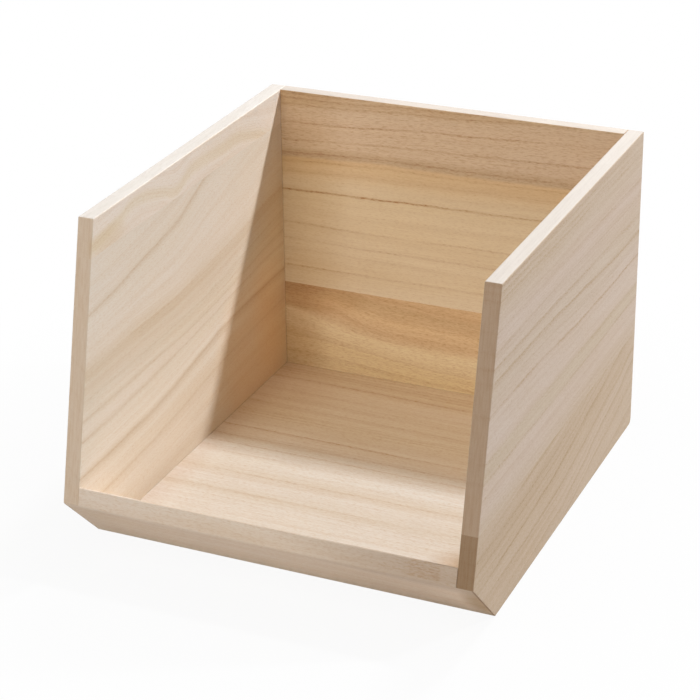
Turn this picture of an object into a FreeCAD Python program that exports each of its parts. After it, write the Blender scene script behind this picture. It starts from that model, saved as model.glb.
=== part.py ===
# Open-front wooden bin: two side boards with a forward-leaning front edge and an undercut
# foot, a back board, a slanted front lip and a thin floor panel let into rebates.
# Every wall is glued up from staves or cut from one board. The lip covers the whole width
# under the knee, where stopped mitres join it to the sides. Blind dowels hold the back.
# Units are millimetres. X runs left to right, the open front faces -Y, Z is up.
# The origin is at the middle of the bounding box, on the ground.
import FreeCAD
import Part
import os
import Sketcher

NEAR = 0.01

SIZES = {
    # outline of the side boards
    "box_width": 252.0,
    "box_height": 200.0,
    "base_depth": 254.0,
    "top_depth": 253.0,
    "knee_overhang": 36.0,
    "knee_height": 36.0,
    "knee_radius": 2.0,
    "heel_radius": 4.0,
    "edge_easing": 0.8,
    # boards
    "side_thickness": 10.0,
    "back_thickness": 9.0,
    "lip_thickness": 10.0,
    "floor_thickness": 3.5,
    # glue joints between staves
    "left_top_stave_width": 22.5,
    "right_low_stave_width": 65.5,
    "back_low_stave_width": 64.5,
    # rebate that takes the floor
    "floor_lift": 0.5,
    "rebate_width": 4.0,
    "floor_clearance": 0.2,
    # blind dowels
    "dowel_diameter": 5.0,
    "dowel_length": 22.0,
    "dowel_in_side": 6.0,
    "dowel_bevel": 0.6,
    "bore_clearance": 0.1,
    "bore_end_gap": 0.5,
    "back_dowel_margin": 30.0,
    # how far a mitre's cut is drawn past the boards
    "mitre_overrun": 1.0,
}
BACK_DOWELS = 3

doc = FreeCAD.newDocument("open_bin")
sheet = doc.addObject("Spreadsheet::Sheet", "Sizes")
for row, (alias, size) in enumerate(SIZES.items(), start=1):
    sheet.set("A%d" % row, alias)
    sheet.set("B%d" % row, str(size))
    sheet.setAlias("B%d" % row, alias)
doc.recompute()


def cell(text):
    """Turn the aliases in an expression into references to the sheet."""
    for alias in sorted(SIZES, key=len, reverse=True):
        text = text.replace("{%s}" % alias, "Sizes.%s" % alias)
    return text


def value(text):
    """Current value of an expression."""
    return float(sheet.evalExpression(cell(text)))


# Places that several boards share, as expressions of the sheet's values.
HALF_WIDTH = "({box_width} / 2)"
INNER_X = "({box_width} / 2 - {side_thickness})"
BACK_Y = "(({base_depth} + {knee_overhang}) / 2)"
BACK_INNER_Y = "(%s - {back_thickness})" % BACK_Y
BASE_FRONT_Y = "(%s - {base_depth})" % BACK_Y
KNEE_Y = "(%s - {knee_overhang})" % BASE_FRONT_Y
TOP_FRONT_Y = "(%s - {top_depth})" % BACK_Y
REBATE_HEIGHT = "({floor_lift} + {floor_thickness})"
LEFT_JOINT_Z = "({box_height} - {left_top_stave_width})"
RIGHT_JOINT_Z = "{right_low_stave_width}"
BACK_JOINT_Z = "{back_low_stave_width}"
# The front edge leans back by this much for each millimetre of height above the knee.
LEAN = "((%s - %s) / ({box_height} - {knee_height}))" % (TOP_FRONT_Y, KNEE_Y)
# The undercut runs forward by this much for each millimetre of height above the base.
UNDERCUT = "({knee_overhang} / {knee_height})"
# The lip's thickness, measured level.
LIP_LEVEL = "({lip_thickness} * sqrt(1 + %s * %s))" % (UNDERCUT, UNDERCUT)
# Height above the knee at which the lip's inner face meets the plane of the front edges.
LIP_RISE = "(%s / (%s + %s))" % (LIP_LEVEL, LEAN, UNDERCUT)
LIP_TOP_Z = "({knee_height} + %s)" % LIP_RISE
FLOOR_REAR_Y = "(%s + {rebate_width})" % BACK_INNER_Y
FLOOR_FRONT_Y = "(%s + %s - %s * %s - {rebate_width})" % (
    BASE_FRONT_Y, LIP_LEVEL, UNDERCUT, REBATE_HEIGHT)
BACK_DOWEL_Y = "(%s - {back_thickness} / 2)" % BACK_Y


def front_y(height):
    """Depth of the leaning front edge at a height above the knee."""
    return "(%s + %s * (%s - {knee_height}))" % (KNEE_Y, LEAN, height)


def undercut_y(height):
    """Depth of the undercut at a height below the knee."""
    return "(%s - %s * %s)" % (BASE_FRONT_Y, UNDERCUT, height)


def back_dowel_heights():
    """Evenly spaced up the back board, the end ones a margin from base and top."""
    step = "(({box_height} - 2 * {back_dowel_margin}) / %d)" % (BACK_DOWELS - 1)
    return ["({back_dowel_margin} + %d * %s)" % (i, step) for i in range(BACK_DOWELS)]


BACK_DOWEL_CENTRES = [(BACK_DOWEL_Y, height) for height in back_dowel_heights()]


def new_body(label):
    """An empty body for one board."""
    body = doc.addObject("PartDesign::Body", label)
    body.Label = label
    return body


def new_sketch(body, name, role, offset):
    """A sketch on one of the body's own origin planes, moved along its normal."""
    plane = [item for item in body.Origin.OriginFeatures if item.Role == role][0]
    sketch = body.newObject("Sketcher::SketchObject", name)
    sketch.AttachmentSupport = [(plane, "")]
    sketch.MapMode = "FlatFace"
    sketch.setExpression("AttachmentOffset.Base.z", cell(offset))
    return sketch


def place_vertex(sketch, line, place):
    """Fix the start of a line at a place given by two expressions."""
    for kind, text in zip(("DistanceX", "DistanceY"), place):
        number = sketch.addConstraint(Sketcher.Constraint(kind, line, 1, value(text)))
        sketch.setExpression("Constraints[%d]" % number, cell(text))


def draw_polygon(sketch, places):
    """A closed outline through places, each a pair of expressions."""
    corners = [FreeCAD.Vector(value(a), value(b), 0) for a, b in places]
    lines = [
        sketch.addGeometry(Part.LineSegment(start, end), False)
        for start, end in zip(corners, corners[1:] + corners[:1])
    ]
    for line, following in zip(lines, lines[1:] + lines[:1]):
        sketch.addConstraint(Sketcher.Constraint("Coincident", line, 2, following, 1))
    for line, place in zip(lines, places):
        place_vertex(sketch, line, place)


def draw_circles(sketch, places, diameter):
    """Equal circles at places, each a pair of expressions."""
    for place in places:
        centre = FreeCAD.Vector(value(place[0]), value(place[1]), 0)
        upright = FreeCAD.Vector(0, 0, 1)
        circle = sketch.addGeometry(Part.Circle(centre, upright, value(diameter) / 2), False)
        for kind, text in zip(("DistanceX", "DistanceY"), place):
            number = sketch.addConstraint(Sketcher.Constraint(kind, circle, 3, value(text)))
            sketch.setExpression("Constraints[%d]" % number, cell(text))
        number = sketch.addConstraint(Sketcher.Constraint("Diameter", circle, value(diameter)))
        sketch.setExpression("Constraints[%d]" % number, cell(diameter))


def pad(body, sketch, length):
    """Thicken a sketch along its normal."""
    feature = body.newObject("PartDesign::Pad", "Pad_" + sketch.Name)
    feature.Profile = sketch
    feature.setExpression("Length", cell(length))
    sketch.Visibility = False
    doc.recompute()
    return feature


def pocket(body, sketch, depth, along_normal, slope=None):
    """Cut a sketch into the body and check that it took material away.

    With a slope, the cut goes down from a level sketch and that much backwards.
    """
    before = body.Shape.Volume
    feature = body.newObject("PartDesign::Pocket", "Cut_" + sketch.Name)
    feature.Profile = sketch
    feature.Reversed = along_normal
    feature.setExpression("Length", cell(depth))
    if slope:
        feature.UseCustomVector = True
        feature.Direction = FreeCAD.Vector(0.0, 1.0, -1.0)
        feature.setExpression("Direction.y", cell(slope))
        feature.AlongSketchNormal = True
    sketch.Visibility = False
    doc.recompute()
    if body.Shape.Volume > before - NEAR:
        raise RuntimeError("%s cuts nothing" % feature.Name)
    return feature


def round_edges(body, name, radius, wanted):
    """Round every edge of the body that a test picks."""
    edges = body.Shape.Edges
    picked = ["Edge%d" % i for i, edge in enumerate(edges, start=1) if wanted(edge)]
    previous = body.Tip
    feature = body.newObject("PartDesign::Fillet", name)
    feature.Base = (previous, picked)
    feature.setExpression("Radius", cell(radius))
    doc.recompute()
    return feature


def along_x_at(y, z):
    """Test for an edge that runs along X through a place in the YZ plane."""
    def wanted(edge):
        box = edge.BoundBox
        level = max(box.YLength, box.ZLength) < NEAR
        there = abs(box.Center.y - value(y)) < NEAR and abs(box.Center.z - value(z)) < NEAR
        return level and there
    return wanted


def flat_at(edge, axis, place):
    """True where an edge lies in the plane across an axis at a place."""
    low = getattr(edge.BoundBox, axis + "Min")
    high = getattr(edge.BoundBox, axis + "Max")
    return abs(low - place) < NEAR and abs(high - place) < NEAR


def touching(centres, low, high):
    """Those dowel centres whose bores reach into the heights between low and high."""
    reach = value("{dowel_diameter} / 2 + {bore_clearance}")
    return [
        centre for centre in centres
        if value(low) - reach < value(centre[1]) < value(high) + reach
    ]


def bore(body, name, centres, face_x, depth, along_x):
    """Blind bores along X from a face, for the dowels at the given centres."""
    sketch = new_sketch(body, body.Label + name, "YZ_Plane", face_x)
    draw_circles(sketch, centres, "({dowel_diameter} + 2 * {bore_clearance})")
    return pocket(body, sketch, depth, along_x)


def cut_mitre(body, is_right, from_lip):
    """Cut the stopped mitre of one corner, out of the lip or out of the side.

    The mitre runs down from the height of the knee. In a level section it goes from the
    outer corner of the undercut to the side's inner face at the lip's inner face.
    """
    side = "" if is_right else "-"
    outer_x = "(%s(%s + {mitre_overrun}))" % (side, HALF_WIDTH)
    inner_x = "(%s(%s - {mitre_overrun}))" % (side, INNER_X)
    slant = "(%s / {side_thickness})" % LIP_LEVEL
    front = "(%s - {mitre_overrun} * %s)" % (undercut_y("{knee_height}"), slant)
    rear = "(%s + ({side_thickness} + {mitre_overrun}) * %s)" % (
        undercut_y("{knee_height}"), slant)
    third = (outer_x, rear) if from_lip else (inner_x, front)
    sketch = new_sketch(
        body, "%s_mitre_%d" % (body.Label, is_right), "XY_Plane", "{knee_height}")
    draw_polygon(sketch, [(outer_x, front), (inner_x, rear), third])
    pocket(body, sketch, "({knee_height} + {mitre_overrun})", False, UNDERCUT)


SIDE_BORE_DEPTH = "({dowel_in_side} + {bore_end_gap})"
END_BORE_DEPTH = "({dowel_length} - {dowel_in_side} + {bore_end_gap})"


def side_stave(label, is_right, outline, low, high):
    """One stave of a side board: outline, floor rebate, dowel bores and eased edges."""
    body = new_body(label)
    outer_x = HALF_WIDTH if is_right else "(-%s)" % HALF_WIDTH
    inner_x = INNER_X if is_right else "(-%s)" % INNER_X
    start_x = inner_x if is_right else outer_x
    profile = new_sketch(body, label + "_outline", "YZ_Plane", start_x)
    draw_polygon(profile, outline)
    pad(body, profile, "{side_thickness}")
    if value(low) < NEAR:
        rebate = new_sketch(body, label + "_rebate", "YZ_Plane", inner_x)
        draw_polygon(rebate, [
            (FLOOR_FRONT_Y, "0"), (FLOOR_REAR_Y, "0"),
            (FLOOR_REAR_Y, REBATE_HEIGHT), (FLOOR_FRONT_Y, REBATE_HEIGHT)])
        pocket(body, rebate, "{rebate_width}", is_right)
        round_edges(body, label + "_knee", "{knee_radius}", along_x_at(KNEE_Y, "{knee_height}"))
        round_edges(body, label + "_heel", "{heel_radius}", along_x_at(BACK_Y, "0"))
    centres = touching(BACK_DOWEL_CENTRES, low, high)
    if centres:
        bore(body, "_bores", centres, inner_x, SIDE_BORE_DEPTH, is_right)
    low_z = value(low)
    high_z = value(high)
    top_z = value("{box_height}")
    lip_z = value(LIP_TOP_Z)
    rear_inner_y = value(BACK_INNER_Y)
    ends = [
        along_x_at(y, z) for y, z in (
            (TOP_FRONT_Y, "{box_height}"), (BACK_Y, "{box_height}"), (BASE_FRONT_Y, "0"))
    ]

    def exposed(edge):
        box = edge.BoundBox
        at_joint = (flat_at(edge, "Z", low_z) and low_z > NEAR) or (
            flat_at(edge, "Z", high_z) and high_z < top_z - NEAR)
        if at_joint:
            return False
        if flat_at(edge, "X", value(outer_x)) or any(test(edge) for test in ends):
            return True
        if not flat_at(edge, "X", value(inner_x)):
            return False
        in_front = box.ZMax > lip_z and box.YMax < rear_inner_y and box.ZLength > NEAR
        return in_front or flat_at(edge, "Z", top_z)

    round_edges(body, label + "_arris", "{edge_easing}", exposed)
    if low_z < NEAR:
        cut_mitre(body, is_right, False)
    return body


def side_outline(low, high):
    """Outline of the part of a side board between two heights."""
    if value(low) < NEAR:
        lower_front = [(BASE_FRONT_Y, "0"), (KNEE_Y, "{knee_height}")]
    else:
        lower_front = [(front_y(low), low)]
    upper_front_y = TOP_FRONT_Y if high == "{box_height}" else front_y(high)
    return lower_front + [(upper_front_y, high), (BACK_Y, high), (BACK_Y, low)]


def back_stave(label, outline, low, high):
    """One stave of the back board, which stands between the sides."""
    body = new_body(label)
    profile = new_sketch(body, label + "_outline", "YZ_Plane", "(-%s)" % INNER_X)
    draw_polygon(profile, outline)
    pad(body, profile, "2 * %s" % INNER_X)
    if value(low) < NEAR:
        round_edges(body, label + "_heel", "{heel_radius}", along_x_at(BACK_Y, "0"))
    centres = touching(BACK_DOWEL_CENTRES, low, high)
    if centres:
        bore(body, "_left_bores", centres, "(-%s)" % INNER_X, END_BORE_DEPTH, True)
        bore(body, "_right_bores", centres, INNER_X, END_BORE_DEPTH, False)
    if abs(value(high) - value("{box_height}")) < NEAR:
        top_edges = [along_x_at(y, "{box_height}") for y in (BACK_Y, BACK_INNER_Y)]
        round_edges(body, label + "_arris", "{edge_easing}",
                    lambda edge: any(test(edge) for test in top_edges))
    return body


def front_lip():
    """The slanted front board: undercut outside, top edge in the plane of the fronts.

    Above the knee it stands between the sides, and below the knee it runs the whole width.
    """
    label = "front_lip"
    body = new_body(label)
    profile = new_sketch(body, label + "_outline", "YZ_Plane", "(-%s)" % HALF_WIDTH)
    inner_base_y = "(%s + %s)" % (BASE_FRONT_Y, LIP_LEVEL)
    draw_polygon(profile, [
        (BASE_FRONT_Y, "0"), (KNEE_Y, "{knee_height}"), (front_y(LIP_TOP_Z), LIP_TOP_Z),
        (inner_base_y, "0")])
    pad(body, profile, "2 * %s" % HALF_WIDTH)
    rebate_end = "(%s + {rebate_width})" % INNER_X
    rebate = new_sketch(body, label + "_rebate", "YZ_Plane", "(-%s)" % rebate_end)
    rebate_rear = "(%s + {mitre_overrun})" % inner_base_y
    draw_polygon(rebate, [
        (FLOOR_FRONT_Y, "0"), (rebate_rear, "0"),
        (rebate_rear, REBATE_HEIGHT), (FLOOR_FRONT_Y, REBATE_HEIGHT)])
    pocket(body, rebate, "2 * %s" % rebate_end, True)
    round_edges(body, label + "_knee", "{knee_radius}", along_x_at(KNEE_Y, "{knee_height}"))
    shoulder_front = "(%s - {mitre_overrun})" % KNEE_Y
    shoulder_top = "(%s + {mitre_overrun})" % LIP_TOP_Z
    for is_right, start_x in ((False, "(-%s)" % HALF_WIDTH), (True, INNER_X)):
        shoulder = new_sketch(body, "%s_shoulder_%d" % (label, is_right), "YZ_Plane", start_x)
        draw_polygon(shoulder, [
            (shoulder_front, "{knee_height}"), (rebate_rear, "{knee_height}"),
            (rebate_rear, shoulder_top), (shoulder_front, shoulder_top)])
        pocket(body, shoulder, "{side_thickness}", True)
    arrises = [along_x_at(front_y(LIP_TOP_Z), LIP_TOP_Z), along_x_at(BASE_FRONT_Y, "0")]
    knee_z = value("{knee_height}")
    base_front_y = value(BASE_FRONT_Y)

    def exposed(edge):
        box = edge.BoundBox
        at_end = abs(abs(box.Center.x) - value(HALF_WIDTH)) < NEAR and box.XLength < NEAR
        in_front = box.YMax < base_front_y + NEAR and box.ZMin < knee_z - NEAR
        return (at_end and in_front) or any(test(edge) for test in arrises)

    round_edges(body, label + "_arris", "{edge_easing}", exposed)
    for is_right in (False, True):
        cut_mitre(body, is_right, True)
    return body


def floor_panel():
    """The thin floor, let into the rebates of the sides, the back and the lip."""
    label = "floor_panel"
    body = new_body(label)
    profile = new_sketch(body, label + "_outline", "XY_Plane", "{floor_lift}")
    half = "(%s + {rebate_width} - {floor_clearance})" % INNER_X
    front = "(%s + {floor_clearance})" % FLOOR_FRONT_Y
    rear = "(%s - {floor_clearance})" % FLOOR_REAR_Y
    draw_polygon(profile, [
        ("(-%s)" % half, front), (half, front), (half, rear), ("(-%s)" % half, rear)])
    pad(body, profile, "{floor_thickness}")
    return body


def dowel(name, centre, is_right):
    """One round dowel along X with bevelled ends, across the face of a side board."""
    start = "(%s - ({dowel_length} - {dowel_in_side}))" % INNER_X
    if not is_right:
        start = "(-%s - {dowel_in_side})" % INNER_X
    radius = "{dowel_diameter} / 2"
    tip_radius = "{dowel_diameter} / 2 - {dowel_bevel}"
    shank = doc.addObject("Part::Cylinder", name + "_shank")
    shank.setExpression("Radius", cell(radius))
    shank.setExpression("Height", cell("{dowel_length} - 2 * {dowel_bevel}"))
    near_end = doc.addObject("Part::Cone", name + "_near_end")
    far_end = doc.addObject("Part::Cone", name + "_far_end")
    for end, radii in ((near_end, (tip_radius, radius)), (far_end, (radius, tip_radius))):
        end.setExpression("Radius1", cell(radii[0]))
        end.setExpression("Radius2", cell(radii[1]))
        end.setExpression("Height", cell("{dowel_bevel}"))
    lengthwise = FreeCAD.Rotation(FreeCAD.Vector(0, 1, 0), 90)
    offsets = {
        near_end: start,
        shank: "(%s + {dowel_bevel})" % start,
        far_end: "(%s + {dowel_length} - {dowel_bevel})" % start,
    }
    for piece, x in offsets.items():
        piece.Placement.Rotation = lengthwise
        piece.setExpression("Placement.Base.x", cell(x))
        piece.setExpression("Placement.Base.y", cell(centre[0]))
        piece.setExpression("Placement.Base.z", cell(centre[1]))
    whole = doc.addObject("Part::MultiFuse", name)
    whole.Shapes = [near_end, shank, far_end]
    whole.Refine = True
    return whole


def dowel_row(label, centres, is_right):
    """All dowels of one joint, as separate solids in one group."""
    row = doc.addObject("Part::Compound", label)
    row.Label = label
    row.Links = [
        dowel("%s_%d" % (label, i), centre, is_right) for i, centre in enumerate(centres, start=1)
    ]
    return row


TOP_Z = "{box_height}"
nodes = [
    side_stave("right_side_upper_stave", True, side_outline(RIGHT_JOINT_Z, TOP_Z),
               RIGHT_JOINT_Z, TOP_Z),
    side_stave("right_side_lower_stave", True, side_outline("0", RIGHT_JOINT_Z),
               "0", RIGHT_JOINT_Z),
    side_stave("left_side_upper_stave", False, side_outline(LEFT_JOINT_Z, TOP_Z),
               LEFT_JOINT_Z, TOP_Z),
    side_stave("left_side_lower_stave", False, side_outline("0", LEFT_JOINT_Z),
               "0", LEFT_JOINT_Z),
    back_stave("back_upper_stave", [
        (BACK_INNER_Y, BACK_JOINT_Z), (BACK_INNER_Y, TOP_Z), (BACK_Y, TOP_Z),
        (BACK_Y, BACK_JOINT_Z)], BACK_JOINT_Z, TOP_Z),
    back_stave("back_lower_stave", [
        (FLOOR_REAR_Y, "0"), (FLOOR_REAR_Y, REBATE_HEIGHT), (BACK_INNER_Y, REBATE_HEIGHT),
        (BACK_INNER_Y, BACK_JOINT_Z), (BACK_Y, BACK_JOINT_Z), (BACK_Y, "0")],
        "0", BACK_JOINT_Z),
    front_lip(),
    floor_panel(),
    dowel_row("left_back_dowels", BACK_DOWEL_CENTRES, False),
    dowel_row("right_back_dowels", BACK_DOWEL_CENTRES, True),
]
doc.recompute()

for item in doc.Objects:
    if "Invalid" in item.State or "Error" in item.State:
        raise RuntimeError("%s failed" % item.Name)
for node in nodes:
    if node.Shape.isNull() or not node.Shape.isValid():
        raise RuntimeError("%s has no valid shape" % node.Label)

os.makedirs("parts", exist_ok=True)
for node in nodes:
    node.Shape.exportStep("parts/%s.step" % node.Label)
    print("%-24s %8.1f mm3 %d solid" % (node.Label, node.Shape.Volume, len(node.Shape.Solids)))
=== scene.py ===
"""Open-front wooden bin: finishes, stage, lamps and camera around the built boards.

Places inside the finishes are millimetres in the frame of the bin: x to the right,
y to the rear, z up, with the open front towards -y.
"""
import math

import bmesh
import bpy
from mathutils import Matrix, Vector

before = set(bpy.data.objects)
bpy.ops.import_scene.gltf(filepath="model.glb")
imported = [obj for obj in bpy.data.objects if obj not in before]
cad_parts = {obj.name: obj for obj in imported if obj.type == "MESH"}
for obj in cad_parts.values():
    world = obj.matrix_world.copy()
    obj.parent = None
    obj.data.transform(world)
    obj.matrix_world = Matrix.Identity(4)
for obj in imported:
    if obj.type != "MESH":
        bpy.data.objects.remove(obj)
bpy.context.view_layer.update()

# The bin's own places, in millimetres.
HALF_OUTSIDE = 126.0  # from the middle to the outer face of a side
HALF_INSIDE = 116.0  # and to its inner face
BACK_FACE = 136.0  # depth of the back's inner face
LEFT_FACE = -HALF_INSIDE  # the inner face of the left side

# Sizes of the grain's features along, across and through a board, in millimetres.
DRIFT = (90, 30, 30)
RIPPLE = (16, 8, 8)
RING_FADE = (45, 12, 12)
PORES = (2.6, 0.55, 0.55)
CLOUDS = (120, 24, 24)
BANDS = (300, 4.5, 6.0)
FIBRES = (40, 1.0, 1.4)
END_STREAKS = (30, 12, 0.9)
COARSE_DASHES = (4.5, 0.7, 0.9)
LIP_FLECKS = (2.8, 0.7, 0.7)

# Colours as 0-255 display levels.
GOLDEN = (216, 180, 122)  # what pores and growth lines tend to
CLOUDED = (250, 246, 236)
GLUE = (120, 84, 52)
# A painted highlight that makes upward faces paler, and its streaks.
TOP_HIGHLIGHT = (224, 218, 211)
TOP_HIGHLIGHT_STREAK = tuple(0.94 * level for level in TOP_HIGHLIGHT)

PER_METRE = 1000.0  # millimetres
RINGS_PER_RAMP = 6  # a colour ramp holds 32 stops and a ring takes 5
RELIEF_DEPTH = 0.0001  # metres

# One growth line's shape: offsets in line widths, and how dark it is there.
RING_SHAPE = ((-0.7, 0.35), (-0.15, 1.0), (0.2, 1.0), (0.8, 0.0))

FLOOR_REACH = 6.0  # metres from the bin to the floor's edges
SURROUNDINGS = 0.08  # the strength of the light from all round
LAMP_DISTANCE = 2.2  # metres from the bin to each lamp
LAMP_TARGET = Vector((0, 0, 0.1))  # the middle of the bin, in metres
DAYLIGHT = (0.96, 1.0, 1.06)
SOFT_LIGHT = (1.0, 0.96, 0.9)
WARM_LIGHT = (1.0, 0.9, 0.74)


def linear(red, green, blue):
    """A colour given as 0-255 display levels, as the linear colour that a shader takes."""
    def channel(level):
        share = level / 255
        return share / 12.92 if share <= 0.04045 else ((share + 0.055) / 1.055) ** 2.4
    return (channel(red), channel(green), channel(blue), 1.0)


class Socket:
    """One output in a finish's node tree, used in sums as a number is."""

    def __init__(self, finish, output):
        self.finish = finish
        self.output = output

    def math(self, operation, *others):
        """A Math node with this number first and the others after it."""
        return self.finish.node(
            "Math", {"operation": operation}, dict(enumerate((self, *others))))

    def __add__(self, other):
        return self.math("ADD", other)

    def __mul__(self, other):
        return self.math("MULTIPLY", other)

    def __sub__(self, other):
        return self.math("SUBTRACT", other)

    def __rsub__(self, other):
        return self.finish.node("Math", {"operation": "SUBTRACT"}, {0: other, 1: self})

    def __abs__(self):
        return self.math("ABSOLUTE")

    __radd__ = __add__
    __rmul__ = __mul__

    def ramp(self, low, high, start=0.0, end=1.0, kind="LINEAR"):
        """This number carried from low..high to start..end, held at both ends."""
        return self.finish.node(
            "MapRange", {"interpolation_type": kind, "clamp": True},
            {0: self, 1: low, 2: high, 3: start, 4: end})

    def ease(self, low, high, start=0.0, end=1.0):
        """The same with a smooth start and end."""
        return self.ramp(low, high, start, end, "SMOOTHSTEP")


class Finish:
    """The node tree of a material or a world, with one method that adds any node to it."""

    def __init__(self, owner):
        owner.use_nodes = True
        self.owner = owner
        self.tree = owner.node_tree
        self.tree.nodes.clear()

    def node(self, kind, settings, sockets, output=0):
        """Add a node with its settings, then its inputs, and give one of its outputs."""
        made = self.tree.nodes.new("ShaderNode" + kind)
        for key, setting in settings.items():
            if key == "stops":
                set_stops(made.color_ramp, setting)
            elif key == "curve":
                made.color_ramp.interpolation = setting
            else:
                setattr(made, key, setting)
        for key, value in sockets.items():
            if isinstance(value, Socket):
                self.tree.links.new(value.output, made.inputs[key])
            else:
                made.inputs[key].default_value = value
        return Socket(self, made.outputs[output]) if made.outputs else None

    def place(self):
        """The point's x, y and z in millimetres."""
        point = self.node("TexCoord", {}, {}, "Object")
        point = self.node("VectorMath", {"operation": "SCALE"}, {0: point, 3: PER_METRE})
        return [self.node("SeparateXYZ", {}, {0: point}, axis) for axis in "XYZ"]

    def path(self, along, knots):
        """The height of one growth line, drawn smoothly through its knots along the grain."""
        if len(knots) == 1:
            return knots[0][1]
        start, stop = knots[0][0], knots[-1][0]
        heights = [height for _, height in knots]
        low, reach = min(heights), max(heights) - min(heights)
        stops = [((place - start) / (stop - start), grey((height - low) / reach))
                 for place, height in knots]
        share = self.node("ValToRGB", {"stops": stops, "curve": "CARDINAL"},
                          {0: along.ramp(start, stop)})
        return share * reach + low

    def flow(self, along, across, lines):
        """A height across the board that stays the same all along each growth line."""
        paths = [self.path(along, knots) for _, knots in lines]
        level = lines[0][0]
        for here, above, low, high in zip(lines, lines[1:], paths, paths[1:]):
            level = across.ramp(low, high, 0.0, above[0] - here[0]) + level
        return level

    def tone(self, level, tones):
        """The board's own colour between its growth lines, before the fine grain."""
        low, high = tones[0][0], tones[-1][0]
        stops = [((place - low) / (high - low), linear(*colour)) for place, colour in tones]
        return self.node("ValToRGB", {"stops": stops}, {0: level.ramp(low, high)})

    def growth(self, level, rings, core):
        """The dark growth lines of a board, as one number from 0 to 1."""
        dark = 0.0
        for first in range(0, len(rings), RINGS_PER_RAMP):
            group = rings[first:first + RINGS_PER_RAMP]
            low = min(place - reach for place, _, reach in group) - 1.0
            high = max(place for place, _, _ in group) + 2.0
            stops = ring_stops(group, low, high, core)
            dark = self.node("ValToRGB", {"stops": stops}, {0: level.ramp(low, high)}) + dark
        return dark

    def noise(self, places, sizes, detail=2.0, offset=0.0):
        """Noise from 0 to 1 with features of the given sizes along three directions."""
        point = self.node("CombineXYZ", {}, {
            i: place * (1 / size) + offset for i, (place, size) in enumerate(zip(places, sizes))})
        return self.node("TexNoise", {}, {
            "Vector": point, "Scale": 1.0, "Detail": detail, "Roughness": 0.55})

    def mix(self, share, first, second, blend="MIX"):
        """Two colours mixed by a share."""
        return self.node("Mix", {"data_type": "RGBA", "blend_type": blend},
                         {0: share, 6: first, 7: second}, 2)

    def darken(self, share, colour, tint):
        """A colour multiplied by a tint by a share."""
        return self.mix(share, colour, tint, "MULTIPLY")

    def facing(self, axis):
        """How far the surface faces along an axis, from -1 to 1."""
        normal = self.node("TexCoord", {}, {}, "Normal")
        return self.node("SeparateXYZ", {}, {0: normal}, axis)

    def seen(self):
        """One for the rays that carry the view, straight or by way of polish or glass."""
        path = [self.node("LightPath", {}, {}, kind) for kind in (
            "Is Camera Ray", "Is Glossy Ray", "Is Transmission Ray")]
        return path[0].math("MAXIMUM", path[1]).math("MAXIMUM", path[2])

    def surface(self, colour, rough, height):
        """The finished surface, from its colour, roughness and relief."""
        normal = self.node("Bump", {}, {
            "Strength": 1.0, "Distance": RELIEF_DEPTH, "Height": height})
        shader = self.node("BsdfPrincipled", {}, {
            "Base Color": colour, "Roughness": rough, "Normal": normal,
            "Specular IOR Level": 0.3})
        self.node("OutputMaterial", {}, {"Surface": shader})


def set_stops(ramp, stops):
    """Give a colour ramp its stops, each a place from 0 to 1 and a colour."""
    while len(ramp.elements) < len(stops):
        ramp.elements.new(1.0)
    for element, (place, colour) in zip(ramp.elements, stops):
        element.position = place
        element.color = colour


def grey(level):
    """A grey of one linear level, as the colour that a shader takes."""
    return (level, level, level, 1.0)


def ring_stops(rings, low, high, core):
    """Stops of a ramp over low..high with one dark line for each ring, core wide."""
    stops = [(0.0, grey(0.0))]
    for place, strength, reach in rings:
        line = [(offset * core, share) for offset, share in RING_SHAPE]
        for offset, share in ((-max(reach, core), 0.0), *line):
            stops.append(((place + offset - low) / (high - low), grey(strength * share)))
    return stops


def grown_level(f, place, lines, tilt, face, seed):
    """The growth level at a place on a board, a little uneven as in real wood."""
    along, across, deep = place
    drift = f.noise(place, DRIFT, 1.0, seed) - 0.5
    ripple = f.noise(place, RIPPLE, 5.0, seed + 7.3) - 0.5
    lean = tilt * (deep - face)
    return f.flow(along, across - lean + drift * 2.2 + ripple * 1.8, lines)


def cut_end(f, colour, place, end, tint, seed, pores, dark):
    """The colour with the sawn ends of the board plainer, and streaked up the cut."""
    streaks = f.noise(place, END_STREAKS, 3.0, seed + 41.0).ramp(0.42, 0.68, 0.0, 0.22)
    plain = f.darken(streaks, linear(*end), tint)
    plain = f.darken(pores * 0.12 + dark * 0.4, plain, tint)
    return f.mix(abs(f.facing("Y")).ease(0.55, 0.85), colour, plain)


def coarse_zone(f, colour, grain, zone, tint, seed):
    """The colour with short dashes between two growth levels."""
    low, high, strength = zone
    level = grain[1]
    there = level.ease(low, low + 4) * level.ease(high - 4, high, 1.0, 0.0)
    dashes = f.noise(grain, COARSE_DASHES, 3.0, seed + 53.0).ramp(0.5, 0.66, 0.0, strength)
    return f.darken(there * dashes, colour, tint)


def stains_and_painted_shade(f, colour, place, face, spots):
    """The colour with soft oval spots, on one face only where a face is given: some are tone in
    the wood, others painted shade in corners and beside walls, or painted warm shade in a cast
    shadow.
    """
    along, across, deep = place
    near = abs(deep - face).ramp(2.0, 4.0, 1.0, 0.0) if face else 1.0
    for from_along, from_across, reach, breadth, spot_colour in spots:
        off = (along - from_along) * (1 / reach)
        aside = (across - from_across) * (1 / breadth)
        share = (off * off + aside * aside).ease(0.0, 1.0, 1.0, 0.0) * near
        colour = f.darken(share, colour, linear(*spot_colour))
    return colour


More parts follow.
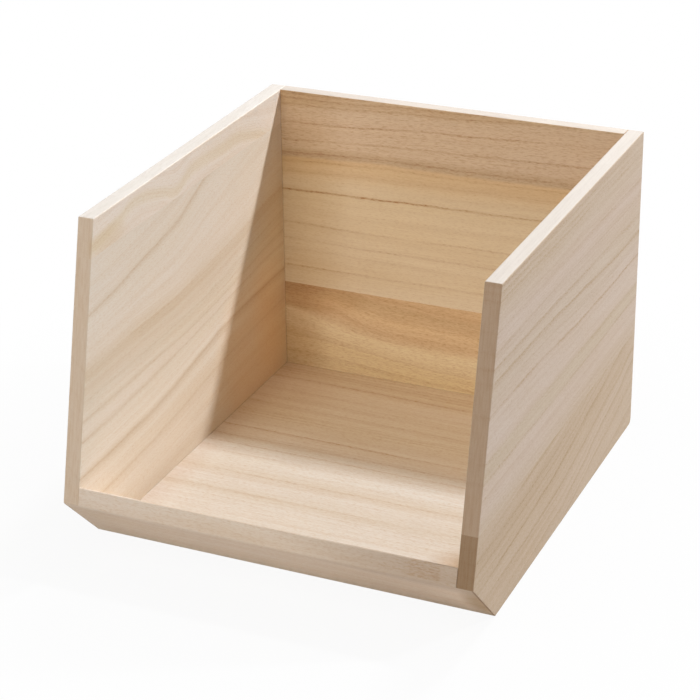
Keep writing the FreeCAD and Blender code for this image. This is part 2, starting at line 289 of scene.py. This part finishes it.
def wood(name, turn, lines, tones, rings, tilt=0.0, face=0.0, tint=GOLDEN, bold=1.0,
         core=1.0, streak=1.0, seed=0.0, end=None, painted_top_highlight=False, spots=(), coarse=None,
         flecks=None, seam=None):
    """Long-grained pale wood for one board.

    turn: picks, from x, y and z, the directions along, across and through the board
    lines: growth lines, each a level and its knots of places along and across the board
    tones: the board's colours at levels between those lines
    rings: darker lines, each a level, a strength and the reach of the soft band before it
    tilt: how far the lines lean through the board, from the given face
    bold, core: how strong and how wide the darker lines are
    streak: how strong the fine grain is
    end: the colour of the sawn ends; painted_top_highlight: whether upward faces get a painted
    highlight
    spots: soft spots, each a place along and across, its reach, its breadth and a colour
    that darkens the wood, or brightens it where a level is above 255; some are tone in
    the wood, others painted shade in corners and beside walls, or painted warm shade
    coarse: the lowest and highest level of a coarse zone, and its strength
    flecks, seam: functions that give the share of dark flecks or of glue at a point
    """
    f = Finish(bpy.data.materials.new(name))
    x, y, z = f.place()
    place = along, across, deep = turn(x, y, z)
    level = grown_level(f, place, lines, tilt, face, seed)
    grain = (along, level, deep)

    fade = f.noise(grain, RING_FADE, 1.0, seed + 3.1).ease(0.3, 0.6, 0.45, 1.0)
    pores = f.noise(place, PORES, 2.0, seed + 31.0).ramp(0.48, 0.7)
    dark = f.growth(level, rings, core) * fade * (0.6 + 0.9 * pores) * bold
    cloud = f.noise(grain, CLOUDS, 2.0, seed + 11.0).ramp(0.3, 0.7)
    band = f.noise(grain, BANDS, 2.0, seed + 17.0).ramp(0.4, 0.75)
    fibre = f.noise(grain, FIBRES, 3.0, seed + 23.0).ramp(0.4, 0.75)

    tint = linear(*tint)
    colour = f.darken(cloud * 0.5, f.tone(level, tones), linear(*CLOUDED))
    for share in (band * (0.12 * streak), fibre * (0.09 * streak), pores * (0.18 * streak), dark):
        colour = f.darken(share, colour, tint)
    if end:
        colour = cut_end(f, colour, place, end, tint, seed, pores, dark)
    if coarse:
        colour = coarse_zone(f, colour, grain, coarse, tint, seed)
    # Soft spots: wood tone, and painted shade or painted warm shade where shade falls.
    colour = stains_and_painted_shade(f, colour, place, face, spots)
    if flecks:
        colour = f.darken(flecks(f, x, y, z), colour, tint)
    if seam:
        colour = f.mix(seam(x, y, z), colour, linear(*GLUE))
    # Painted highlight: upward faces are made paler and streaked, as the light falls on them from
    # above and behind.
    if painted_top_highlight:
        highlight = f.mix(fibre * 0.6 + band * 0.4, linear(*TOP_HIGHLIGHT), linear(*TOP_HIGHLIGHT_STREAK))
        colour = f.mix(f.facing("Z").ease(0.7, 0.95, 0.0, 0.75), colour, highlight)
    depth = pores * 0.5 + dark * 0.4 + fibre * 0.3
    f.surface(colour, 0.6 + 0.12 * fibre + 0.1 * pores, 0.0 - depth)
    return f.owner


def side_turn(x, y, z):
    """The side boards run front to back."""
    return y, z, x


def back_turn(x, y, z):
    """The back and its dowels run left to right."""
    return x, z, y


def floor_turn(x, y, z):
    """The floor lies flat, its grain left to right."""
    return x, y, z


def lip_turn(x, y, z):
    """The lip's board leans at 45 degrees."""
    return x, (z - y) * math.sqrt(0.5), (y + z) * math.sqrt(0.5)


def lip_flecks(f, x, y, z):
    """Short dark flecks near the right end of the lip's front, up to a browner stripe."""
    there = x.ease(82, 92) * x.ease(104.5, 107.5, 1.0, 0.0) * z.ease(36.5, 38)
    fleck = f.noise((x, y, z), LIP_FLECKS, 3.0, 47.0).ramp(0.44, 0.62, 0.05, 0.4)
    stripe = x.ease(100, 104) * z.ease(39, 46, 0.24, 0.05)
    return there * fleck.math("MAXIMUM", stripe)


def lip_seam(x, y, z):
    """Dark glue in the mitres that end the lip under the knee."""
    return (HALF_OUTSIDE - abs(x)).ramp(0.4, 1.6, 0.75, 0.0) * z.ramp(35, 37, 1.0, 0.0)


def end_seam(x, y, z):
    """Dark corners at the ends of a board that stands between the sides."""
    return (HALF_INSIDE - abs(x)).ramp(0.1, 0.7, 0.33, 0.0) * z.ramp(196, 199, 1.0, 0.0)


def floor_seam(x, y, z):
    """Dark corners where the floor meets the sides and the back."""
    side = HALF_INSIDE - abs(x)
    return side.math("MINIMUM", BACK_FACE - y).ramp(0.1, 0.7, 0.33, 0.0)


woods = {
    "left_side_lower_stave": wood(
        "left_side_board", side_turn,
        lines=[
            (0, [(-145, -2), (145, 20)]),
            (51, [(-135, 51), (-87, 52.5), (-45, 55.5), (-10, 60.5), (30, 67.5), (55, 70.5),
                  (125, 74)]),
            (72, [(-135, 72.3), (-90, 74), (-45, 76.5), (0, 80), (40, 84.5), (90, 90), (135, 93)]),
            (85, [(-130, 84.5), (-60, 85.5), (0, 87), (40, 90.5), (90, 97), (135, 102)]),
            (97, [(-125, 96), (-60, 96.5), (-10, 98), (30, 101), (60, 105), (135, 116)]),
            (114, [(-125, 113.8), (-70, 114.5), (-20, 113.8), (10, 117.5), (40, 120.5),
                   (85, 126), (133, 133)]),
            (146, [(-120, 146), (-70, 152.5), (-5, 164), (25, 177), (60, 189), (145, 206)]),
            (195, [(-120, 195), (0, 209), (145, 245)])],
        tones=[
            (0, (240, 231, 217)), (28, (240, 231, 218)), (31, (234, 222, 205)),
            (35, (241, 232, 219)), (46, (241, 232, 219)), (51, (230, 217, 199)),
            (55, (243, 235, 223)), (68, (242, 234, 221)), (72, (234, 223, 207)),
            (76, (241, 232, 220)), (82, (239, 229, 215)), (85, (233, 222, 205)),
            (89, (238, 228, 213)), (97, (232, 221, 204)), (100, (235, 224, 208)),
            (112, (229, 215, 195)), (115, (234, 222, 205)), (121, (240, 230, 217)),
            (142, (239, 230, 217)), (146, (232, 220, 204)), (150, (240, 231, 219)),
            (195, (239, 229, 217))],
        rings=[
            (14, 0.10, 4), (31, 0.16, 5), (41, 0.14, 3), (51, 0.36, 4), (60, 0.14, 3),
            (72, 0.22, 5), (85, 0.24, 6), (91, 0.16, 2), (97, 0.22, 4), (104, 0.14, 3),
            (114, 0.32, 8), (125, 0.06, 3), (146, 0.36, 6), (160, 0.06, 5)],
        tint=(220, 184, 126), tilt=-0.8, face=LEFT_FACE, end=(220, 200, 179), painted_top_highlight=True,
        # Painted warm shade in the back's cast shadow and along its edge, and painted shade darker
        # towards the floor.
        spots=[(142, 70, 66, 120, (260, 249, 230)),
               (0, 8, 170, 50, (250, 245, 239)),
               (86, 38, 62, 74, (262, 250, 237))],
        bold=0.7, core=1.4, streak=1.2, seed=1.0),
    "left_side_upper_stave": wood(
        "left_side_top_strip", side_turn,
        lines=[
            (165, [(0, 165)]),
            (184, [(-125, 183), (-100, 184.5), (-75, 190), (-60, 193.5), (-40, 190), (-22, 184),
                   (-9, 180.5), (4, 186), (15, 188.5), (50, 187.5), (80, 186), (110, 176),
                   (140, 166)]),
            (215, [(0, 215)])],
        tones=[
            (165, (247, 237, 227)), (180, (246, 236, 225)), (183, (243, 232, 215)),
            (186.5, (243, 232, 215)), (190, (246, 236, 225)), (215, (248, 238, 228))],
        rings=[(174, 0.08, 3), (185.5, 0.14, 3), (198, 0.08, 4)],
        tilt=-0.5, face=LEFT_FACE, end=(220, 200, 179), painted_top_highlight=True,
        spots=[(-95, 183, 28, 9, (248, 243, 233))], streak=1.2, seed=2.0),
    "right_side_upper_stave": wood(
        "right_side_board", side_turn,
        lines=[
            (40, [(0, 40)]),
            (93.5, [(-142, 93.5), (-30, 91.5), (145, 91)]),
            (104, [(-142, 104.3), (10, 102), (145, 100)]),
            (129, [(-142, 129.5), (-60, 127.8), (-35, 126.5), (10, 123), (75, 120.6),
                   (145, 119.3)]),
            (147, [(-142, 147), (-50, 144.5), (0, 142), (75, 137), (145, 134.5)]),
            (163, [(-142, 163.5), (145, 158.7)]),
            (190, [(-142, 190.5), (145, 186)]),
            (230, [(0, 230)])],
        tones=[
            (64, (208, 188, 165)), (70, (210, 190, 170)), (80, (213, 193, 176)),
            (90, (213, 193, 176)), (96, (209, 190, 168)), (103, (209, 190, 168)),
            (107, (214, 195, 179)), (126, (214, 195, 179)), (150, (209, 190, 170)),
            (170, (213, 193, 177)), (188, (209, 189, 168)), (200, (209, 189, 168))],
        rings=[
            (70, 0.08, 4), (93.5, 0.24, 3), (104, 0.2, 4), (129, 0.44, 3), (138, 0.12, 4),
            (147, 0.36, 4), (155, 0.28, 3), (163, 0.14, 3), (174, 0.22, 3), (190, 0.26, 3),
            (194, 0.22, 2), (198, 0.28, 2)],
        tint=(212, 179, 122), end=(180, 155, 131), painted_top_highlight=True, bold=1.25, core=1.7, streak=1.5,
        seed=3.0),
    "right_side_lower_stave": wood(
        "right_side_foot_strip", side_turn,
        lines=[
            (-40, [(-142, -40), (145, -5)]),
            (0, [(-142, 0), (-25, 8.5), (10, 12), (60, 25), (119, 39), (145, 47)]),
            (21, [(-142, 20.5), (-109, 21.7), (-48, 23.5), (10, 28), (60, 37), (119, 48),
                  (145, 55)]),
            (31, [(-142, 31), (-120, 31.5), (-46, 37), (-3, 41.7), (43, 51), (93, 59.8),
                  (119, 65), (145, 72)]),
            (50, [(-142, 50), (-51, 51.5), (-3, 55.4), (43, 62), (93, 72), (145, 86)]),
            (80, [(-142, 80), (145, 118)])],
        tones=[
            (-40, (207, 185, 161)), (10, (208, 186, 163)), (31, (204, 181, 156)),
            (50, (203, 180, 155)), (80, (204, 181, 156))],
        rings=[
            (-25, 0.14, 5), (-12, 0.22, 5), (0, 0.28, 5), (9, 0.12, 4), (21, 0.26, 5),
            (31, 0.4, 3), (37, 0.12, 3), (43, 0.22, 4), (50, 0.26, 4), (58, 0.2, 3)],
        tint=(208, 180, 124), end=(155, 127, 98), spots=[(0, 67, 500, 16, (258, 259, 262))],
        bold=1.2, core=1.7, streak=1.5, seed=4.0),
    "back_upper_stave": wood(
        "back_board", back_turn,
        lines=[
            (40, [(0, 40)]),
            (78, [(0, 77.5)]),
            (109, [(-116, 109), (-40, 108.3), (24, 108.5), (116, 109.5)]),
            (132, [(-116, 131.7), (-66, 132.5), (-33, 133.3), (24, 134.2), (116, 136)]),
            (157, [(-116, 157), (-50, 160), (24, 160.3), (116, 161)]),
            (166, [(-116, 165.5), (-71, 168.3), (-20, 170), (24, 171.5), (116, 174)]),
            (179, [(-116, 179), (-83, 179.6), (-50, 181.3), (-16, 183.6), (24, 185),
                   (109, 188.8)]),
            (192, [(-116, 191.5), (-50, 194), (24, 197), (116, 202)]),
            (225, [(0, 225)])],
        tones=[
            (60, (238, 220, 192)), (80, (236, 217, 186)), (110, (235, 215, 183)),
            (131, (235, 214, 180)), (136, (238, 218, 186)), (146, (235, 208, 169)),
            (153.5, (232, 202, 159)), (155.5, (218, 192, 160)), (159.5, (221, 195, 163)),
            (162, (233, 209, 180)), (178, (235, 210, 181)), (188, (233, 208, 179)),
            (193, (225, 198, 163)), (201, (221, 191, 156))],
        rings=[
            (78, 0.4, 2), (90, 0.06, 4), (97, 0.24, 2), (109, 0.28, 1.4), (120, 0.06, 4),
            (132, 0.8, 1.2), (145.5, 0.12, 3), (152, 0.3, 1.6), (157.5, 0.4, 3),
            (167, 0.4, 1.6), (179, 0.44, 1.4), (191.5, 0.3, 2), (195.5, 0.34, 2),
            (198.7, 0.34, 1.6)],
        tint=(196, 150, 96), painted_top_highlight=True, coarse=(152, 214, 0.3), face=BACK_FACE,
        # The first spot is painted shade, darker towards the left corner, on the inner face only;
        # the second slightly darkens the tone around level 160.
        spots=[(-122, 130, 58, 400, (236, 230, 219)),
               (40, 160, 300, 42, (249, 248, 247))],
        seam=end_seam, seed=5.0),
    "back_lower_stave": wood(
        "back_foot_board", back_turn,
        lines=[
            (-10, [(0, -10)]),
            (27, [(-116, 27), (-66, 22.5), (-16, 17.5), (24, 15), (116, 9)]),
            (45, [(-116, 46), (-83, 36), (-43, 30), (24, 27), (116, 22)]),
            (50, [(-116, 50), (-78, 49.3), (-66, 43.5), (-41, 38.5), (-10, 37.5), (24, 36),
                  (116, 31)]),
            (64, [(-116, 63.5), (-70, 62.5), (-45, 57.5), (-13, 55.3), (24, 53.3), (116, 48)]),
            (80, [(-116, 85), (-60, 66), (-23, 60), (0, 58), (24, 57), (116, 53)]),
            (120, [(-116, 120), (116, 90)])],
        tones=[
            (-10, (251, 233, 194)), (24, (249, 230, 188)), (29, (250, 232, 194)),
            (44, (252, 235, 198)), (49, (238, 210, 170)), (56, (240, 213, 172)),
            (63, (226, 197, 156)), (82, (231, 201, 160)), (120, (238, 210, 168))],
        rings=[
            (2, 0.1, 4), (14, 0.14, 4), (27, 0.16, 5), (35, 0.08, 4), (50, 0.12, 5),
            (57, 0.14, 3), (64, 0.26, 4), (71, 0.16, 3), (80, 0.26, 4), (95, 0.2, 5)],
        tint=(196, 150, 92), face=BACK_FACE, coarse=(-20, 140, 0.16),
        # The first spot is painted shade, darker towards the left corner, on the inner face only;
        # the second is a small darker patch in the tone.
        spots=[(-124, 30, 46, 400, (224, 213, 200)),
               (-90, 57, 40, 14, (238, 229, 218))],
        core=1.6, streak=1.7, seam=end_seam, seed=6.0),
    "floor_panel": wood(
        "floor_board", floor_turn,
        lines=[
            (-150, [(0, -150)]),
            (14.5, [(0, 14.5)]),
            (38, [(-116, 38.5), (116, 36.2)]),
            (113, [(-116, 115), (-60, 114.5), (0, 113), (60, 111.5), (116, 110)]),
            (160, [(0, 160)])],
        tones=[
            (-150, (234, 226, 218)), (-56, (232, 224, 215)), (-46, (229, 220, 209)),
            (-30, (232, 224, 215)), (-20, (229, 219, 207)), (-6, (232, 225, 216)),
            # From level 30 to the back the floor lies in the back's shadow; its warmer tones there
            # are painted warm shade.
            (8, (235, 228, 220)), (30, (237, 221, 201)), (60, (237, 220, 195)),
            (106, (240, 223, 200)), (118, (236, 217, 189)), (136, (235, 214, 185))],
        rings=[
            (-62, 0.08, 4), (-51.5, 0.14, 5), (-43, 0.12, 5), (-30, 0.06, 3), (-19.5, 0.2, 5),
            (-10, 0.06, 3), (3, 0.1, 2), (8, 0.1, 2), (14.5, 0.22, 4), (24.5, 0.2, 4),
            (38, 0.4, 3), (46, 0.08, 3), (54.5, 0.16, 2), (58, 0.2, 2), (61, 0.14, 2),
            (73.5, 0.18, 4), (84, 0.1, 4), (95, 0.1, 3), (113, 0.36, 3), (120, 0.14, 2),
            (123.5, 0.16, 2), (127, 0.14, 2), (131, 0.18, 2), (134, 0.14, 2)],
        # Painted shade along the left side and in the front right corner beside the right side;
        # the third spot makes the rear left darker.
        spots=[(-122, 0, 26, 400, (246, 240, 236)),
               (116, -84, 52, 46, (218, 192, 160)),
               (-110, 90, 60, 90, (247, 241, 234))],
        tint=(214, 176, 112), bold=1.5, core=1.4, streak=1.6, seam=floor_seam, seed=7.0),
    "front_lip": wood(
        "lip_board", lip_turn,
        lines=[(40, [(0, 40)]), (160, [(0, 160)])],
        tones=[
            # The lightest tones, at the undercut's lower edge, are painted light against the shade
            # near the table.
            (78, (255, 241, 224)), (90, (250, 232, 215)), (127, (237, 219, 202)),
            (128.5, (235, 220, 206)), (145, (235, 220, 206))],
        rings=[(82, 0.1, 4), (96, 0.12, 5), (112, 0.12, 5), (124, 0.1, 4)],
        # The first two spots are painted shade, darker towards the right end beside the right
        # side; the third darkens the right mitre end.
        spots=[(126, 137, 130, 24, (225, 221, 217)),
               (126, 96, 120, 60, (240, 236, 232)),
               (127, 100, 17, 34, (199, 186, 164))],
        core=1.6, streak=1.6, flecks=lip_flecks, seam=lip_seam, seed=8.0),
}
dowel_wood = wood(
    "dowel_wood", back_turn,
    lines=[(-10, [(0, -10)]), (210, [(0, 210)])],
    tones=[(-10, (214, 186, 148)), (210, (210, 182, 144))],
    rings=[(60, 0.1, 4), (130, 0.1, 4)],
    seed=9.0)
for node_name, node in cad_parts.items():
    node.data.materials.clear()
    node.data.materials.append(woods.get(node_name, dowel_wood))


# --- stage ---------------------------------------------------------------------------
def make_floor():
    """A white table. It shows the shadow beside the bin and is plain white further out."""
    sheet = bmesh.new()
    bmesh.ops.create_grid(sheet, x_segments=1, y_segments=1, size=FLOOR_REACH)
    mesh = bpy.data.meshes.new("table")
    sheet.to_mesh(mesh)
    sheet.free()
    table = bpy.data.objects.new("table", mesh)
    bpy.context.scene.collection.objects.link(table)

    f = Finish(bpy.data.materials.new("table_white"))
    x, y, z = f.place()
    far = (x * x + y * y).math("SQRT").ease(150, 380, 0.93, 1.0)
    white = f.node("Emission", {}, {"Color": grey(1.0), "Strength": 1.0})
    paint = f.node("BsdfDiffuse", {}, {"Color": grey(0.7)})
    shader = f.node("MixShader", {}, {0: f.seen() * far, 1: paint, 2: white})
    f.node("OutputMaterial", {}, {"Surface": shader})
    mesh.materials.append(f.owner)


def make_surroundings(strength):
    """Even soft light from all round, which is seen as plain white."""
    world = bpy.data.worlds.new("studio")
    bpy.context.scene.world = world
    f = Finish(world)
    light = f.node("Background", {}, {"Color": grey(1.0), "Strength": strength})
    white = f.node("Background", {}, {"Color": grey(1.0), "Strength": 1.0})
    shader = f.node("MixShader", {}, {0: f.seen(), 1: light, 2: white})
    f.node("OutputWorld", {}, {"Surface": shader})


def softbox(name, towards, width, height, level, colour):
    """A rectangular lamp that faces the bin from a direction, its width along x.

    The level is what a white card facing the lamp would take from it.
    """
    lamp = bpy.data.lights.new(name, "AREA")
    lamp.shape = "RECTANGLE"
    lamp.size = width
    lamp.size_y = height
    lamp.energy = level * math.pi ** 2 * LAMP_DISTANCE ** 2
    lamp.color = colour
    facing = Vector(towards).normalized()
    sideways = (Vector((1, 0, 0)) - facing.x * facing).normalized()
    turn = Matrix((sideways, facing.cross(sideways), facing)).transposed().to_4x4()
    box = bpy.data.objects.new(name, lamp)
    box.matrix_world = Matrix.Translation(LAMP_TARGET + facing * LAMP_DISTANCE) @ turn
    bpy.context.scene.collection.objects.link(box)


make_floor()
make_surroundings(SURROUNDINGS)
softbox("behind", towards=(0.16, 0.686, 1.0), width=0.22, height=0.16, level=0.57,
        colour=DAYLIGHT)
softbox("right_behind", towards=(1.18, 0.686, 1.0), width=0.2, height=0.09, level=0.52,
        colour=DAYLIGHT)
softbox("above", towards=(0.0, 0.22, 1.0), width=1.0, height=1.0, level=0.09,
        colour=WARM_LIGHT)
softbox("front_high", towards=(0.0, -1.0, 1.4), width=1.0, height=1.0, level=0.23,
        colour=SOFT_LIGHT)
softbox("front_low", towards=(0.0, -1.0, 0.1), width=0.6, height=0.6, level=0.21,
        colour=SOFT_LIGHT)
softbox("front_left", towards=(-0.8, -0.8, 1.2), width=1.0, height=1.0, level=0.12,
        colour=SOFT_LIGHT)

# --- camera --------------------------------------------------------------------------
AZIMUTH = math.radians(24.416)
ELEVATION = math.radians(24.293)
ROLL = math.radians(-0.910)
CAMERA_PLACE = (0.474587, -1.091388, 0.652924)


def place_camera():
    """A camera above the front right corner, with its azimuth, elevation and roll."""
    data = bpy.data.cameras.new("camera")
    data.sensor_width = 36.0
    data.lens = 112.990
    data.shift_x = 0.02787
    data.shift_y = -0.04929
    data.clip_start = 0.05
    data.clip_end = 50.0
    camera = bpy.data.objects.new("camera", data)
    backwards = Vector((
        math.sin(AZIMUTH) * math.cos(ELEVATION), -math.cos(AZIMUTH) * math.cos(ELEVATION),
        math.sin(ELEVATION)))
    right = Vector((0, 0, 1)).cross(backwards).normalized()
    up = backwards.cross(right)
    rolled_right = math.cos(ROLL) * right + math.sin(ROLL) * up
    rolled_up = math.cos(ROLL) * up - math.sin(ROLL) * right
    turn = Matrix((rolled_right, rolled_up, backwards)).transposed().to_4x4()
    camera.matrix_world = Matrix.Translation(CAMERA_PLACE) @ turn
    bpy.context.scene.collection.objects.link(camera)
    bpy.context.scene.camera = camera


place_camera()
bpy.context.scene.view_settings.view_transform = "Standard"
